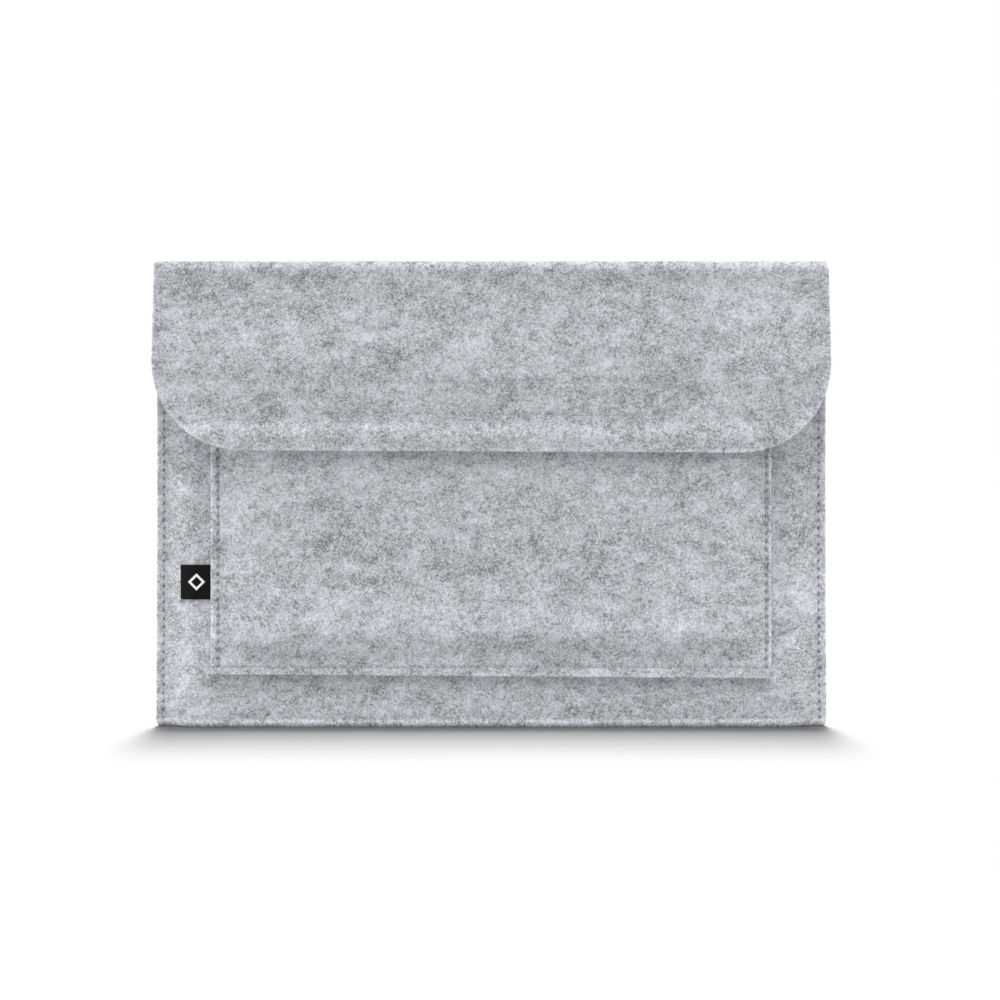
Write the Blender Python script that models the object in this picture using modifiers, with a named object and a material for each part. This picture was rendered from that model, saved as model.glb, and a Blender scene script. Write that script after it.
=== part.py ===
"""Felt laptop sleeve with a folding flap, a front patch pocket and a hook-and-loop closure.

The sleeve stands upright on its bottom fold. Its width runs along X and its height along +Z, and the
flap and pocket face -Y. The origin is the centre of the flat underside of the bottom fold.
The body, the top fold and the flap are one felt blank in the real object; here they are split at the
two creases of the top fold, which are the hinges, and along the flat underside.
"""
import math

import bmesh
import bpy

# Felt and thread
FELT = 0.0030                 # felt thickness
GAP = 0.0003                  # air left between touching pieces
THREAD_RADIUS = 0.00022
TAPE_BASE = 0.0008            # woven base of each hook-and-loop tape
TAPE_FIELD = 0.0010           # height of the hooks or the loops above that base
LABEL_THICKNESS = 0.0008      # woven ribbon folded double

# Body
HEIGHT = 0.2426
CORNER_HALF_WIDTH = 0.1752    # half the body's width at its top and bottom corners
WAIST = 0.0006                # how far each side draws in at mid height
SEAM_INSET = 0.0038           # side seams, in from the cut edges
BODY_HALF = 0.0090            # felt's middle surface, forward or back of the seam plane
SEAM_HALF = 0.0021            # the same where the two layers are sewn together
PINCH_WIDTH = 0.0180          # over which the body tapers down to its side seams
BOTTOM_RADIUS = 0.0018        # middle surface, where the panels turn into the bottom fold
BOTTOM_FLAT_LEAST = 0.0005    # half the flat underside's depth at the seams, where it is narrowest
CORNER_RISE = 0.0005          # how far the underside rises towards the side seams
BOTTOM_SPLIT = 0.30           # where the panels meet under the body, as a share of its flat half
MOUTH_HEIGHT = 0.2361         # top edge of the front panel
SEAM_TOP = 0.2260
CLOSURE_LIFT = 0.0012         # how far the closure draws the front panel forward
CLOSURE_TOP = 0.1840          # it does so fully up to here,
CLOSURE_LOW = 0.1620          # and fully down to here
CLOSURE_FADE = 0.0450         # height above the closure over which that dies out
CLOSURE_START = 0.0020        # height above the pocket's top edge at which it begins
CLOSURE_RISE = 0.0080         # height over which it grows from there
LOWER_ROWS = (0.1000, 0.0500, 0.0120)   # heights of the rows that only carry the body's waist
BACK_ROWS = (0.1500, 0.0800, 0.0120)

# Creases of the top fold
CREASE_RADIUS = 0.0040        # middle surface
FLAP_TOP_HALF = 0.0125        # middle surface of the flap just below the front crease

# Flap
FLAP_LENGTH = 0.0991
FLAP_HALF_WIDTH = 0.1760
FLAP_CORNER = 0.0470
FLAP_TAPE_HALF = 0.0177       # middle surface of the flap where it lies on the closure
FLAP_EDGE_HALF = 0.0199       # the same over the pocket's top edge
FLAP_SIDE_DROP = 0.0022       # how far its side edges settle back towards the body
FLAP_SIDE_START = 0.1500      # how far out that begins
FLAP_SIDE_WIDTH = 0.0260      # width over which it grows
FLAP_TAPE_MARGIN = 0.0010     # flat felt left above and below the tape
FLAP_MIDDLE_SHARE = 0.84      # of its width, over which the columns stand wide apart

# Pocket
POCKET_LEFT = -0.1455
POCKET_RIGHT = 0.1453
POCKET_BOTTOM = 0.0268
POCKET_TOP = 0.1500
POCKET_SEAM_LEFT = 0.0038     # seam insets from the pocket's own edges
POCKET_SEAM_RIGHT = 0.0025
POCKET_SEAM_BOTTOM = 0.0048
POCKET_SEAM_END = 0.0010      # below the pocket's top edge
POCKET_LIFT = 0.0043          # how far the pocket stands off where it isn't sewn
POCKET_BLEND = 0.0200         # distance from the seams over which it rises
POCKET_COLUMNS = (-0.0600, 0.0, 0.0600)
POCKET_ROW = 0.0750           # height of the lowest row above that rise

# Closure tapes
TAPE_WIDTH = 0.1904
TAPE_HEIGHT = 0.0200
TAPE_CENTRE_Z = 0.1706
TAPE_SELVEDGE = 0.0032        # bare border that the stitches run along
TAPE_STITCH_INSET = 0.0016

# Label
LABEL_OUT = -0.1614
LABEL_IN = -0.1400
LABEL_LOW = 0.0666
LABEL_HIGH = 0.0846
LABEL_RECESS = 0.0016         # depth of the place that the pocket leaves it
LABEL_RECESS_OUT = 0.0020     # how far that place runs out past the pocket's edge

FELT_GREY = (0.447, 0.456, 0.490, 1.0)
THREAD_GREY = (0.300, 0.307, 0.330, 1.0)
TAPE_GREY = (0.330, 0.338, 0.365, 1.0)
LABEL_BLACK = (0.012, 0.012, 0.013, 1.0)

SEAM_X = CORNER_HALF_WIDTH - SEAM_INSET
TOP_Z = HEIGHT - FELT / 2
BACK_CREASE = (0.0, BODY_HALF - CREASE_RADIUS * (1 - math.pi / 4), TOP_Z - CREASE_RADIUS * (1 - math.pi / 4))
FRONT_CREASE = (0.0, -FLAP_TOP_HALF + CREASE_RADIUS * (1 - math.pi / 4), BACK_CREASE[2])


def clear_scene():
    for item in list(bpy.data.objects):
        bpy.data.objects.remove(item, do_unlink=True)


def new_collection(name):
    collection = bpy.data.collections.new(name)
    bpy.context.scene.collection.children.link(collection)
    return collection


def new_material(name, colour, roughness, metallic=0.0):
    material = bpy.data.materials.new(name)
    material.use_nodes = True
    shader = material.node_tree.nodes["Principled BSDF"]
    shader.inputs["Base Color"].default_value = colour
    shader.inputs["Roughness"].default_value = roughness
    shader.inputs["Metallic"].default_value = metallic
    material.diffuse_color = colour
    return material


def ease(value):
    """0 below 0, 1 above 1, and a smooth step between them."""
    t = min(max(value, 0.0), 1.0)
    return t * t * (3.0 - 2.0 * t)


def mix(low, high, share):
    return low + (high - low) * share


def steps(low, high, count):
    return [mix(low, high, i / count) for i in range(count + 1)]


# The felt's middle surfaces, as distances from the seam plane

def body_edge(z):
    """Half the body's width at a height."""
    t = 2.0 * z / HEIGHT - 1.0
    return CORNER_HALF_WIDTH - WAIST * (1.0 - t * t)


def pinch(x):
    """0 at the side seams and 1 over the body's middle."""
    return ease((SEAM_X - abs(x)) / PINCH_WIDTH)


def front_half(x, z):
    grown = ease((z - POCKET_TOP - CLOSURE_START) / CLOSURE_RISE)
    lift = grown * (1.0 - ease((z - CLOSURE_TOP) / CLOSURE_FADE))
    return mix(SEAM_HALF, BODY_HALF + CLOSURE_LIFT * lift, pinch(x))


def back_half(x, z):
    opened = ease((z - SEAM_TOP) / (TOP_Z - CREASE_RADIUS - SEAM_TOP))
    return mix(SEAM_HALF, BODY_HALF, max(pinch(x), opened))


def pocket_half(x, z):
    rise = ease((x - POCKET_LEFT - POCKET_SEAM_LEFT) / POCKET_BLEND)
    rise *= ease((POCKET_RIGHT - POCKET_SEAM_RIGHT - x) / POCKET_BLEND)
    rise *= ease((z - POCKET_BOTTOM - POCKET_SEAM_BOTTOM) / POCKET_BLEND)
    return BODY_HALF + FELT + GAP + POCKET_LIFT * rise


def flap_half(x, z):
    tape_top = TAPE_CENTRE_Z + TAPE_HEIGHT / 2 + FLAP_TAPE_MARGIN
    tape_bottom = TAPE_CENTRE_Z - TAPE_HEIGHT / 2 - FLAP_TAPE_MARGIN
    over_tape = ease((TOP_Z - CREASE_RADIUS - z) / (TOP_Z - CREASE_RADIUS - tape_top))
    over_pocket = ease((tape_bottom - z) / (tape_bottom - POCKET_TOP))
    centre = mix(FLAP_TOP_HALF, FLAP_TAPE_HALF, over_tape)
    centre += (FLAP_EDGE_HALF - FLAP_TAPE_HALF) * over_pocket
    side = ease((abs(x) - FLAP_SIDE_START) / FLAP_SIDE_WIDTH) * over_tape
    return centre - FLAP_SIDE_DROP * side


# Objects

def add_object(name, mesh, collection, material, parent=None, origin=(0.0, 0.0, 0.0)):
    """Link a mesh given in world coordinates, with its origin at the given point and under its parent."""
    item = bpy.data.objects.new(name, mesh)
    for vertex in mesh.vertices:
        vertex.co.x -= origin[0]
        vertex.co.y -= origin[1]
        vertex.co.z -= origin[2]
    above = parent.matrix_world.translation if parent else (0.0, 0.0, 0.0)
    item.location = [origin[axis] - above[axis] for axis in range(3)]
    item.parent = parent
    mesh.materials.clear()
    mesh.materials.append(material)
    collection.objects.link(item)
    return item


def add_axis(name, point, collection, parent=None):
    """An empty on a crease, from which everything that turns about that crease hangs."""
    empty = bpy.data.objects.new(name, None)
    empty.empty_display_type = "ARROWS"
    empty.empty_display_size = 0.03
    above = parent.matrix_world.translation if parent else (0.0, 0.0, 0.0)
    empty.location = [point[axis] - above[axis] for axis in range(3)]
    empty.parent = parent
    collection.objects.link(empty)
    bpy.context.view_layer.update()
    return empty


def surface_mesh(name, columns, rows, point):
    """A grid whose corner (i, j) is moved to point(columns[i], rows[j])."""
    shape = bmesh.new()
    bmesh.ops.create_grid(shape, x_segments=len(columns) - 1, y_segments=len(rows) - 1, size=1.0)
    for vertex in shape.verts:
        i = round((vertex.co.x + 1.0) / 2.0 * (len(columns) - 1))
        j = round((vertex.co.y + 1.0) / 2.0 * (len(rows) - 1))
        vertex.co = point(columns[i], rows[j])
    mesh = bpy.data.meshes.new(name)
    shape.to_mesh(mesh)
    shape.free()
    return mesh


def add_felt(name, mesh, collection, material, parent=None, origin=(0.0, 0.0, 0.0), thickness=FELT):
    """A sheet of even thickness about an open surface."""
    item = add_object(name, mesh, collection, material, parent, origin)
    solid = item.modifiers.new("thickness", "SOLIDIFY")
    solid.thickness = thickness
    solid.offset = 0.0
    solid.use_even_offset = True
    item.data.shade_smooth()
    item.data.set_sharp_from_angle(angle=math.radians(40))
    return item


def add_thread(name, points, closed, collection, material, parent=None, origin=(0.0, 0.0, 0.0)):
    """One thread of a lockstitched seam, as a round bar through its points."""
    curve = bpy.data.curves.new(name, "CURVE")
    curve.dimensions = "3D"
    curve.bevel_depth = THREAD_RADIUS
    curve.bevel_resolution = 1
    curve.use_fill_caps = True
    spline = curve.splines.new("POLY")
    spline.points.add(len(points) - 1)
    for target, point in zip(spline.points, points):
        target.co = (point[0] - origin[0], point[1] - origin[1], point[2] - origin[2], 1.0)
    spline.use_cyclic_u = closed
    curve.materials.append(material)
    item = bpy.data.objects.new(name, curve)
    above = parent.matrix_world.translation if parent else (0.0, 0.0, 0.0)
    item.location = [origin[axis] - above[axis] for axis in range(3)]
    item.parent = parent
    collection.objects.link(item)
    return item


def box_mesh(name, low, high):
    shape = bmesh.new()
    bmesh.ops.create_cube(shape, size=1.0)
    for vertex in shape.verts:
        vertex.co = [mix(low[axis], high[axis], vertex.co[axis] + 0.5) for axis in range(3)]
    mesh = bpy.data.meshes.new(name)
    shape.to_mesh(mesh)
    shape.free()
    return mesh


def add_cutter(name, low, high, collection):
    cutter = bpy.data.objects.new(name, box_mesh(name, low, high))
    cutter.hide_render = True
    cutter.display_type = "WIRE"
    collection.objects.link(cutter)
    return cutter


def combine(item, tool, operation):
    change = item.modifiers.new(operation.lower(), "BOOLEAN")
    change.operation = operation
    change.solver = "EXACT"
    change.object = tool


# The felt blank

def body_columns():
    """Stations across the body: close together where it tapers to the seams."""
    edge = CORNER_HALF_WIDTH
    right = steps(SEAM_X, SEAM_X - PINCH_WIDTH, 6)
    return [-edge] + [-x for x in right] + right[::-1] + [edge]


def side_scaled(x, z):
    """A column's place at a height: the whole row narrows with the body's waist."""
    return x * body_edge(z) / CORNER_HALF_WIDTH


def body_point(x, row, side):
    """A row is (height, turn): turn 0 is on the wall, 0 to 1 goes round to the underside, 2 is the split."""
    z, turn = row
    half = front_half(x, z) if side < 0 else back_half(x, z)
    x_place = side_scaled(x, z)
    if turn == 0.0:
        return x_place, side * half, z
    radius = min(BOTTOM_RADIUS, half - BOTTOM_FLAT_LEAST)
    low = FELT / 2 + CORNER_RISE * (1.0 - pinch(x))
    if turn > 1.0:
        return x_place, BOTTOM_SPLIT * (half - radius) + side * GAP / 2, low
    angle = turn * math.pi / 2
    y = half - radius + radius * math.cos(angle)
    return x_place, side * y, low + radius - radius * math.sin(angle)


def panel_rows(heights):
    """Down the wall through these heights, then round the bottom fold to the split."""
    foot = FELT / 2 + BOTTOM_RADIUS + CORNER_RISE
    wall = [(z, 0.0) for z in heights] + [(foot, 0.0)]
    return wall + [(foot, turn) for turn in (0.34, 0.67, 1.0, 2.0)]


def front_panel_mesh():
    heights = steps(MOUTH_HEIGHT, CLOSURE_TOP, 4) + steps(CLOSURE_TOP, CLOSURE_LOW, 2)[1:]
    heights += steps(CLOSURE_LOW, POCKET_TOP, 3)[1:] + list(LOWER_ROWS)
    return surface_mesh("front_panel", body_columns(), panel_rows(heights),
                        lambda x, row: body_point(x, row, -1.0))


def back_panel_mesh():
    heights = steps(TOP_Z - CREASE_RADIUS - GAP, SEAM_TOP, 4) + list(BACK_ROWS)
    return surface_mesh("back_panel", body_columns(), panel_rows(heights),
                        lambda x, row: body_point(x, row, 1.0))


def top_fold_mesh():
    front = FRONT_CREASE[1] + CREASE_RADIUS * math.pi / 4
    back = BACK_CREASE[1] - CREASE_RADIUS * math.pi / 4
    return surface_mesh("top_fold", steps(-CORNER_HALF_WIDTH, CORNER_HALF_WIDTH, 4), steps(front, back, 2),
                        lambda x, y: (x, y, TOP_Z))


def flap_rows():
    """Heights of the flap's rows: straight sides first, then round its two corners."""
    bottom = HEIGHT - FLAP_LENGTH
    corner_z = bottom + FLAP_CORNER
    straight = steps(TOP_Z - CREASE_RADIUS - GAP, corner_z, 4)
    turns = steps(0.0, math.pi / 2, 9)[1:]
    return straight + [corner_z - FLAP_CORNER * math.sin(turn) for turn in turns]


def flap_edge(z):
    """Half the flap's width at a height."""
    corner_z = HEIGHT - FLAP_LENGTH + FLAP_CORNER
    if z >= corner_z:
        share = (TOP_Z - z) / (TOP_Z - corner_z)
        return mix(CORNER_HALF_WIDTH, FLAP_HALF_WIDTH, share)
    drop = min((corner_z - z) / FLAP_CORNER, 1.0)
    return FLAP_HALF_WIDTH - FLAP_CORNER * (1.0 - math.sqrt(1.0 - drop * drop))


def flap_mesh():
    middle = FLAP_MIDDLE_SHARE
    shares = steps(-1.0, -middle, 3) + steps(-middle, middle, 8)[1:] + steps(middle, 1.0, 3)[1:]

    def point(share, z):
        x = share * flap_edge(z)
        return x, -flap_half(x, z), z

    return surface_mesh("flap", shares, flap_rows()[::-1], point)


# Sewn-on pieces

def pocket_mesh():
    rise = [0.0, POCKET_SEAM_LEFT] + [POCKET_SEAM_LEFT + d for d in steps(0.0, POCKET_BLEND, 5)[1:]]
    left = [POCKET_LEFT + d for d in rise]
    right = [POCKET_RIGHT - d for d in rise]
    columns = left + list(POCKET_COLUMNS) + right[::-1]
    heights = [POCKET_BOTTOM + d for d in rise] + steps(POCKET_ROW, POCKET_TOP, 3)
    return surface_mesh("pocket_panel", columns, heights, lambda x, z: (x, -pocket_half(x, z), z))


def label_mesh():
    """The label lies along the front panel, from under the pocket's edge towards the side seam."""
    def point(x, z):
        lift = FELT / 2 + GAP + LABEL_THICKNESS / 2
        return x, -(front_half(x, z) + lift), z

    return surface_mesh("label", steps(LABEL_OUT, LABEL_IN, 8), steps(LABEL_LOW, LABEL_HIGH, 1), point)


def add_tape(name, outer_y, towards, collection, cutters, material, parent=None, origin=(0.0, 0.0, 0.0)):
    """A hook or loop tape: a woven base, and inside its bare border the raised field.

    outer_y is the base's sewn face, and towards is -1 or 1, the side on which the field stands.
    """
    half = TAPE_WIDTH / 2
    low_z = TAPE_CENTRE_Z - TAPE_HEIGHT / 2
    high_z = TAPE_CENTRE_Z + TAPE_HEIGHT / 2
    sides = [outer_y, outer_y + towards * TAPE_BASE]
    base = box_mesh(name, (-half, min(sides), low_z), (half, max(sides), high_z))
    item = add_object(name, base, collection, material, parent, origin)
    sides = [outer_y + towards * TAPE_BASE / 2, outer_y + towards * (TAPE_BASE + TAPE_FIELD)]
    inset = TAPE_SELVEDGE
    field = add_cutter(name + "_field", (-half + inset, min(sides), low_z + inset),
                       (half - inset, max(sides), high_z - inset), cutters)
    combine(item, field, "UNION")
    return item


def tape_rectangle(y):
    """The four corners of the stitching around a closure tape."""
    across = TAPE_WIDTH / 2 - TAPE_STITCH_INSET
    up = TAPE_HEIGHT / 2 - TAPE_STITCH_INSET
    corners = ((-1, -1), (1, -1), (1, 1), (-1, 1))
    return [(sx * across, y, TAPE_CENTRE_Z + sz * up) for sx, sz in corners]


def add_seams(collection, thread, flap_axis):
    """Both threads of every lockstitched seam: one on each face of the layers it holds."""
    clear = GAP + THREAD_RADIUS
    seam_y = SEAM_HALF + FELT / 2 + clear
    low_z = FELT / 2 + BOTTOM_RADIUS + CORNER_RISE
    for side, sign in (("left", -1.0), ("right", 1.0)):
        heights = steps(low_z, SEAM_TOP - THREAD_RADIUS, 8)
        for face, direction in (("needle", -1.0), ("bobbin", 1.0)):
            points = [(sign * side_scaled(SEAM_X, z), direction * seam_y, z) for z in heights]
            add_thread(side + "_seam_" + face + "_thread", points, False, collection, thread)

    left = POCKET_LEFT + POCKET_SEAM_LEFT
    right = POCKET_RIGHT - POCKET_SEAM_RIGHT
    bottom = POCKET_BOTTOM + POCKET_SEAM_BOTTOM
    top = POCKET_TOP - POCKET_SEAM_END
    outside = -(BODY_HALF + FELT + GAP + FELT / 2 + clear)
    inside = -(BODY_HALF - FELT / 2 - clear)
    for face, y in (("needle", outside), ("bobbin", inside)):
        points = [(left, y, top), (left, y, bottom), (right, y, bottom), (right, y, top)]
        add_thread("pocket_seam_" + face + "_thread", points, False, collection, thread)

    panel_face = BODY_HALF + CLOSURE_LIFT + FELT / 2
    loop_face = -(panel_face + GAP + TAPE_BASE + clear)
    add_thread("loop_tape_needle_thread", tape_rectangle(loop_face), True, collection, thread)
    panel_inside = -(panel_face - FELT - clear)
    add_thread("loop_tape_bobbin_thread", tape_rectangle(panel_inside), True, collection, thread)

    flap_outside = -(FLAP_TAPE_HALF + FELT / 2 + clear)
    hook_face = -(FLAP_TAPE_HALF - FELT / 2 - GAP - TAPE_BASE - clear)
    add_thread("hook_tape_needle_thread", tape_rectangle(hook_face), True, collection, thread,
               flap_axis, FRONT_CREASE)
    add_thread("hook_tape_bobbin_thread", tape_rectangle(flap_outside), True, collection, thread,
               flap_axis, FRONT_CREASE)


def build():
    clear_scene()
    parts = new_collection("laptop_sleeve")
    cutters = new_collection("cutters")

    felt = new_material("felt", FELT_GREY, 0.95)
    thread = new_material("thread", THREAD_GREY, 0.75)
    tape = new_material("tape", TAPE_GREY, 0.80)
    ribbon = new_material("label_ribbon", LABEL_BLACK, 0.60)

    back_axis = add_axis("back_crease_axis", BACK_CREASE, parts)
    front_axis = add_axis("front_crease_axis", FRONT_CREASE, parts, back_axis)

    add_felt("front_panel", front_panel_mesh(), parts, felt)
    add_felt("back_panel", back_panel_mesh(), parts, felt)
    add_felt("top_fold", top_fold_mesh(), parts, felt, back_axis, BACK_CREASE)
    add_felt("flap", flap_mesh(), parts, felt, front_axis, FRONT_CREASE)

    pocket = add_felt("pocket_panel", pocket_mesh(), parts, felt)
    add_felt("label", label_mesh(), parts, ribbon, thickness=LABEL_THICKNESS)
    panel_face = -(BODY_HALF + FELT / 2)
    low = (POCKET_LEFT - LABEL_RECESS_OUT, panel_face - LABEL_RECESS, LABEL_LOW - GAP)
    recess = add_cutter("label_recess", low, (LABEL_IN + GAP, panel_face, LABEL_HIGH + GAP), cutters)
    combine(pocket, recess, "DIFFERENCE")

    loop_back = panel_face - CLOSURE_LIFT - GAP
    add_tape("loop_tape", loop_back, -1.0, parts, cutters, tape)
    hook_back = -(FLAP_TAPE_HALF - FELT / 2 - GAP)
    add_tape("hook_tape", hook_back, 1.0, parts, cutters, tape, front_axis, FRONT_CREASE)

    add_seams(parts, thread, front_axis)


build()
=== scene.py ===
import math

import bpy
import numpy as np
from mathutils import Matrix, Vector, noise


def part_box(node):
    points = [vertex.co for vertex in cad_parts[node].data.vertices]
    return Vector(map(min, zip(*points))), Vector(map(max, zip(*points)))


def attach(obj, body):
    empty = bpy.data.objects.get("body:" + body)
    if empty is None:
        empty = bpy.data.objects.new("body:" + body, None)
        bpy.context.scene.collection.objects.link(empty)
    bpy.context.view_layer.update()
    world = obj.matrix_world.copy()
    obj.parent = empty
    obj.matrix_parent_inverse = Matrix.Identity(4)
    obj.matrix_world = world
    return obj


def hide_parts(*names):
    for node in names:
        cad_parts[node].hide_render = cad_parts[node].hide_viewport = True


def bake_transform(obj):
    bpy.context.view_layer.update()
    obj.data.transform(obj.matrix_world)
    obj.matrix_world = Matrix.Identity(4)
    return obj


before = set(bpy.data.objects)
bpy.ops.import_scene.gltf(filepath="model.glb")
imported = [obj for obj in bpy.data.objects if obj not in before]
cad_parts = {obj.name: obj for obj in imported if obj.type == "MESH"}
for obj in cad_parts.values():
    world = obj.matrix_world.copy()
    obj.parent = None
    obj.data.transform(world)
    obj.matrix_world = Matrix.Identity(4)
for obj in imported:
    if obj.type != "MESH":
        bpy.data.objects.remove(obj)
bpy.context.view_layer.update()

# Felt laptop sleeve: the finished look of every piece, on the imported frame.
# Metres, +Z up, the flap and pocket face -Y, and the origin is under the middle of the sleeve.
# The felt is modelled as shells of its real thickness about a middle surface, given by its distance
# from the seam plane. A "place" attribute says where each point lay on the flat felt before it was
# folded and sewn: the felt's pattern is drawn in that space, so it runs on over every fold.

# The frame's own measures
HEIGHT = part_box("top_fold")[1].z
CORNER_HALF_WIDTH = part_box("top_fold")[1].x
FLAP_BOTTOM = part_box("flap")[0].z
FLAP_HALF_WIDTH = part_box("flap")[1].x
POCKET_LOW, POCKET_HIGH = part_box("pocket_panel")
LABEL_LOW, LABEL_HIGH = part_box("label")
HOOK_LOW, HOOK_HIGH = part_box("hook_tape")
LOOP_LOW, LOOP_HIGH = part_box("loop_tape")
MOUTH_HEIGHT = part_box("front_panel")[1].z

# The felt's thickness, and where its middle surface lies
FELT = 0.0030
WAIST = 0.0006
SEAM_INSET = 0.0038
BODY_HALF = 0.0090
SEAM_HALF = 0.0021
PINCH_WIDTH = 0.0180
BOTTOM_RADIUS = 0.0014
CORNER_RISE = 0.0001
CORNER_CUT = 0.0045  # radius of the worn lower corners
BOTTOM_FLAT_LEAST = 0.0005
BOTTOM_FULLER = 0.9  # how square the pressed bottom fold is: 0 is round and 1 a sharp corner
FOLD_HIGHLIGHT_REACH = 0.0012  # how far up the walls the painted highlight on that fold reaches, as pale as a cut edge
SEAM_TOP = 0.2260
CLOSURE_LIFT = 0.0012
CREASE_RADIUS = 0.0040
FLAP_TOP_HALF = 0.0125
FLAP_CORNER = 0.0470
FLAP_TAPE_HALF = 0.0177
FLAP_EDGE_HALF = 0.0199
FLAP_SIDE_DROP = 0.0022
POCKET_SEAM_LEFT = 0.0038
POCKET_SEAM_RIGHT = 0.0025
POCKET_SEAM_BOTTOM = 0.0048
POCKET_FOOT_PULL = 0.5  # how hard the bottom seam draws the felt in, beside the side ones
POCKET_SKEW = 0.0011  # how far its lower edge was cut off level, at either end
LABEL_RIDGE = 0.0005  # how far the label under it lifts its edge
POCKET_LIFT = 0.0043
POCKET_BLEND = 0.0200
CLOSURE_START = 0.002  # above the pocket, the closure's pull on the front begins
CLOSURE_RISE = 0.008
CLOSURE_TOP = 0.184
CLOSURE_FADE = 0.045
FLAP_TAPE_MARGIN = 0.001
FLAP_SIDE_START = 0.150
FLAP_SIDE_WIDTH = 0.026
GAP = 0.0003
TAPE_BASE = 0.0008
TAPE_STITCH_INSET = 0.0016
TAPE_SELVEDGE = 0.0032

SEAM_X = CORNER_HALF_WIDTH - SEAM_INSET
TOP_Z = HEIGHT - FELT / 2
CREASE_Z = TOP_Z - CREASE_RADIUS
STRIP_BACK = BODY_HALF - CREASE_RADIUS  # the flat of the top fold runs from here
STRIP_FRONT = -FLAP_TOP_HALF + CREASE_RADIUS  # to here
STRIP_MIDDLE = (STRIP_BACK + STRIP_FRONT) / 2
BACK_SPLIT = 0.2220  # where the body's felt hands over to the crease's
CREASE_ARC = CREASE_RADIUS * math.pi / 2
POCKET_TOP = POCKET_HIGH.z
TAPE_CENTRE_Z = (HOOK_LOW.z + HOOK_HIGH.z) / 2
TAPE_HALF_HEIGHT = (HOOK_HIGH.z - HOOK_LOW.z) / 2
TAPE_SEAM_X = HOOK_HIGH.x - TAPE_STITCH_INSET
TAPE_SEAM_Z = TAPE_HALF_HEIGHT - TAPE_STITCH_INSET
ALL_CORNERS = ((-1, -1), (1, -1), (1, 1), (-1, 1))

# Sewing
THREAD_RADIUS = 0.00025
SIDE_PITCH = 0.00430
SIDE_SEAM_FOOT = 0.0048
POCKET_PITCH = 0.00435
TAPE_PITCH = 0.00470
GROOVE_DEPTH = 0.00042
GROOVE_HALF = 0.00062
DIMPLE_DEPTH = 0.00125
DIMPLE_LENGTH = 0.00090
DIMPLE_WIDTH = 0.00056
BOBBIN_PULL = 0.5  # the bobbin side's groove, as a share of the needle side's
SEAM_END = 0.001  # length over which a seam's groove ends

# How far a piece of felt is from its cut edge, in the columns next to that edge
EDGE_STEPS = (0.0, 0.00010, 0.00024, 0.00044, 0.00080)
EDGE_ROUND = 0.00050
RIM_HALF = 0.00105
CUT_HIGHLIGHT_FRINGE = 0.00065  # width over which the paler cut edge fades: partly the cut fibres' own colour, partly a painted highlight
FELT_STEP = 0.0010
LUMP_MARGIN = 0.003  # next to a cut edge, the felt's swells die away
SHARP_ANGLE = math.radians(62)
BROAD_SCALE, BROAD_LUMP = 38.0, 0.00016       # lumps to the metre, and their height
FINE_SCALE, FINE_LUMP = 190.0, 0.00007


# Small mathematics, on single numbers and on arrays

def ease(value):
    t = np.clip(value, 0.0, 1.0)
    return t * t * (3.0 - 2.0 * t)


def mix(low, high, share):
    return low + (high - low) * share


def bell(value, width):
    return np.exp(-(value / width) ** 2)


def evenly(low, high, step):
    """Stations from low to high, both included, about a step apart."""
    count = max(int(round(abs(high - low) / step)), 1)
    return np.linspace(low, high, count + 1)


def unit(vectors):
    return vectors / np.maximum(np.linalg.norm(vectors, axis=-1, keepdims=True), 1e-12)


def cloud(points, scale, seed):
    """Smooth noise, about -1 to 1, at an array of points."""
    shift = Vector((seed * 7.31, seed * 3.17, seed * 5.93))
    return np.array([noise.fractal(Vector(p) * scale + shift, 0.6, 2.0, 2) for p in points])


# The felt's middle surfaces, as distances from the seam plane

def body_edge(z):
    t = 2.0 * z / HEIGHT - 1.0
    return CORNER_HALF_WIDTH - WAIST * (1.0 - t * t)


def pinch(x):
    return ease((SEAM_X - np.abs(x)) / PINCH_WIDTH)


def front_half(x, z):
    lift = ease((z - POCKET_TOP - CLOSURE_START) / CLOSURE_RISE)
    lift = lift * (1.0 - ease((z - CLOSURE_TOP) / CLOSURE_FADE))
    return mix(SEAM_HALF, BODY_HALF + CLOSURE_LIFT * lift, pinch(x))


def back_half(x, z):
    opened = ease((z - SEAM_TOP) / (CREASE_Z - SEAM_TOP))
    return mix(SEAM_HALF, BODY_HALF, np.maximum(pinch(x), opened))


def pocket_half(x, z):
    rise = ease((x - POCKET_LOW.x - POCKET_SEAM_LEFT) / POCKET_BLEND)
    rise = rise * ease((POCKET_HIGH.x - POCKET_SEAM_RIGHT - x) / POCKET_BLEND)
    rise = rise * ease((z - POCKET_LOW.z - POCKET_SEAM_BOTTOM) / POCKET_BLEND)
    return BODY_HALF + FELT + GAP + POCKET_LIFT * rise


def flap_half(x, z):
    tape_top = TAPE_CENTRE_Z + TAPE_HALF_HEIGHT + FLAP_TAPE_MARGIN
    tape_bottom = TAPE_CENTRE_Z - TAPE_HALF_HEIGHT - FLAP_TAPE_MARGIN
    over_tape = ease((CREASE_Z - z) / (CREASE_Z - tape_top))
    over_pocket = ease((tape_bottom - z) / (tape_bottom - POCKET_TOP))
    centre = mix(FLAP_TOP_HALF, FLAP_TAPE_HALF, over_tape)
    centre = centre + (FLAP_EDGE_HALF - FLAP_TAPE_HALF) * over_pocket
    side = ease((np.abs(x) - FLAP_SIDE_START) / FLAP_SIDE_WIDTH) * over_tape
    return centre - FLAP_SIDE_DROP * side


# Meshes

def add_object(name, data):
    item = bpy.data.objects.new(name, data)
    bpy.context.scene.collection.objects.link(item)
    return item


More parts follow.
